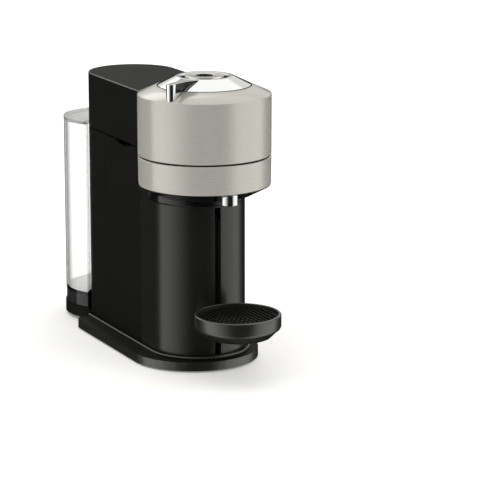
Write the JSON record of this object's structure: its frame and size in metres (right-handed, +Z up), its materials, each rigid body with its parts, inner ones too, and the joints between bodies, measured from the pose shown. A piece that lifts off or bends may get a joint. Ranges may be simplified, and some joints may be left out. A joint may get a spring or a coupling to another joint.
{
  "type": "pod coffee machine",
  "caption": "Pod coffee machine with a hinged round head, locking lever, push button, spinning capsule holder, sliding cup support and a removable crescent water tank.",
  "frame": {"origin": "middle of the footprint, on the surface that the feet stand on", "axes": "+Z up; the front with the cup support faces -Y and the water tank +Y; +X to the right seen from the front"},
  "size_m": [0.142, 0.4292, 0.314],
  "materials": {
    "satin_black": "moulded satin black plastic",
    "column_black": "satin black plastic with a soft highlight",
    "gloss_black": "polished black plastic",
    "grey_ribbed": "warm light grey satin plastic with fine ribs",
    "chrome": "polished chrome plate",
    "dark_window": "black glossy window",
    "clear_tank": "clear moulded plastic",
    "smoke_plastic": "dark grey plastic",
    "rubber": "black rubber",
    "steel": "steel",
    "cast_alu": "die-cast aluminium",
    "inner_plastic": "moulded technical plastic",
    "hose": "silicone hose",
    "board": "green circuit board"
  },
  "bodies": {
    "root": {"base_plate": "satin_black", "base_bottom": "inner_plastic", "rubber_feet": "rubber", "base_screws": "steel", "tank_dock": "satin_black", "dock_inlet": "rubber", "power_inlet": "rubber", "front_column": "column_black", "left_side_panel": "satin_black", "right_side_panel": "satin_black", "rear_housing": "satin_black", "chassis": "inner_plastic", "hinge_pin": "steel", "support_rail": "inner_plastic", "head_ring": "grey_ribbed", "neck": "gloss_black", "coffee_spout": "chrome", "spout_insert": "inner_plastic", "brew_chamber": "inner_plastic", "holder_bearing": "steel", "drive_motor": "steel", "drive_belt": "rubber", "heater": "cast_alu", "pump": "steel", "pump_mounts": "rubber", "flow_meter": "inner_plastic", "main_board": "board", "water_hoses": "hose", "capsule_bin": "inner_plastic"},
    "lid": {"top_cover": "satin_black", "head_shell": "grey_ribbed", "lid_frame": "inner_plastic", "brew_head": "inner_plastic", "code_sensor": "dark_window", "lid_hose": "hose"},
    "lever": {"lever_cap": "chrome", "lock_ring": "cast_alu"},
    "button": {"brew_button": "chrome", "button_window": "dark_window", "button_spring": "steel"},
    "piercer": {"piercing_plate": "steel"},
    "holder": {"capsule_holder": "cast_alu", "driven_pulley": "cast_alu"},
    "motor_rotor": {"motor_shaft": "steel", "motor_pulley": "cast_alu"},
    "cup_support": {"support_cup": "column_black", "support_arm": "satin_black"},
    "grid": {"drip_grid": "satin_black"},
    "tank": {"tank_shell": "clear_tank", "tank_collar": "smoke_plastic", "valve_body": "inner_plastic", "valve_spring": "steel"},
    "plunger": {"valve_plunger": "inner_plastic"},
    "tank_cover": {"tank_lid": "smoke_plastic"}
  },
  "joints": [
    {"name": "lid_hinge", "type": "hinge", "parent": "root", "child": "lid", "pos_m": [0, 0.13965, 0.24], "axis": [-1, 0, 0], "range_deg": [0, 45]},
    {"name": "lever_turn", "type": "hinge", "parent": "lid", "child": "lever", "pos_m": [0, -0.08885, 0.3], "axis": [0, 0, 1], "range_deg": [0, 60]},
    {"name": "button_press", "type": "slide", "parent": "lid", "child": "button", "axis": [0, 0, -1], "range_m": [0, 0.0015], "stiffness_N_per_m": 800, "springref_m": -0.001, "deforming": ["button_spring"]},
    {"name": "piercer_spin", "type": "hinge", "parent": "lid", "child": "piercer", "pos_m": [0, -0.08885, 0.238], "axis": [0, 0, 1], "continuous": true},
    {"name": "holder_spin", "type": "hinge", "parent": "root", "child": "holder", "pos_m": [0, -0.08885, 0.18], "axis": [0, 0, 1], "continuous": true},
    {"name": "motor_spin", "type": "hinge", "parent": "root", "child": "motor_rotor", "pos_m": [0, -0.01385, 0.13], "axis": [0, 0, 1], "continuous": true},
    {"name": "support_slide", "type": "slide", "parent": "root", "child": "cup_support", "axis": [0, 0, 1], "range_m": [-0.03, 0.045]},
    {"name": "grid_lift", "type": "slide", "parent": "cup_support", "child": "grid", "axis": [0, 0, 1], "range_m": [0, 0.04]},
    {"name": "tank_lift", "type": "slide", "parent": "root", "child": "tank", "axis": [0, 0.8, 0.6], "range_m": [0, 0.12]},
    {"name": "tank_lid_lift", "type": "slide", "parent": "tank", "child": "tank_cover", "axis": [0, 0.8, 0.6], "range_m": [0, 0.06]},
    {"name": "valve_push", "type": "slide", "parent": "tank", "child": "plunger", "axis": [0, 0, 1], "range_m": [0, 0.002], "stiffness_N_per_m": 300, "springref_m": -0.001, "deforming": ["valve_spring"]}
  ],
  "couplings": [
    {"joint": "motor_spin", "follows": "holder_spin", "ratio": 2},
    {"joint": "piercer_spin", "follows": "holder_spin", "ratio": 1}
  ]
}
